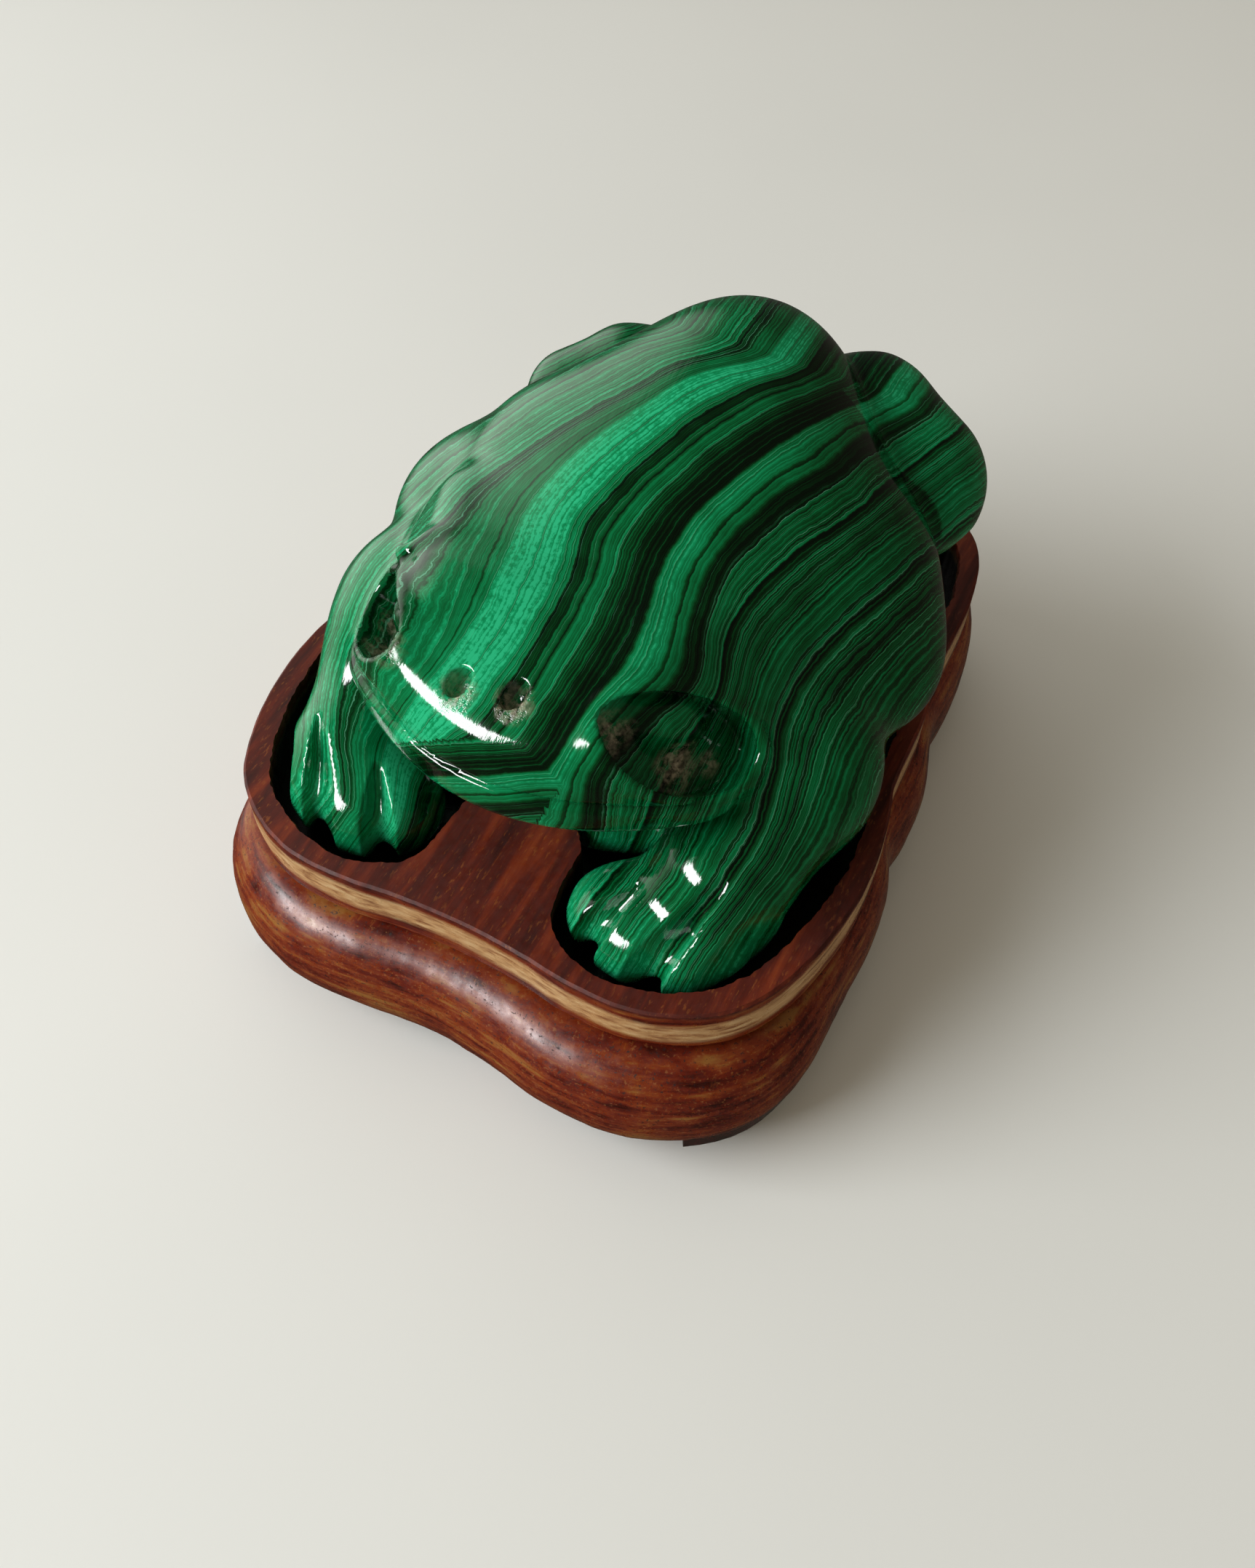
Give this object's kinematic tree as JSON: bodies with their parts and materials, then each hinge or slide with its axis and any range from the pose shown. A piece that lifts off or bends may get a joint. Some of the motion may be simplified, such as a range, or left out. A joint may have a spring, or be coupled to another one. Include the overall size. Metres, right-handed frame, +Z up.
{
  "type": "toad figurine on stand",
  "caption": "Carved banded-stone toad resting in the pocket of a lobed hardwood stand on small bracket feet; the toad lifts straight out.",
  "frame": {"origin": "middle of the stand's footprint, on the surface that the feet stand on", "axes": "+Z up, toad looks along -Y, its left side is +X"},
  "size_m": [0.0886, 0.1126, 0.0713],
  "materials": {
    "hardwood": "polished reddish-brown hardwood with a pale streak in the plate's edge",
    "dark_lacquer_wood": "dark burgundy lacquered hardwood",
    "malachite": "polished banded green malachite"
  },
  "bodies": {
    "stand": {"stand": "hardwood", "foot_front_left": "dark_lacquer_wood", "foot_front_right": "dark_lacquer_wood", "foot_rear_left": "dark_lacquer_wood", "foot_rear_right": "dark_lacquer_wood"},
    "toad": {"toad": "malachite"}
  },
  "joints": [
    {"name": "toad_lift", "type": "slide", "parent": "stand", "child": "toad", "axis": [0, 0, 1], "range_m": [0, 0.06]}
  ]
}
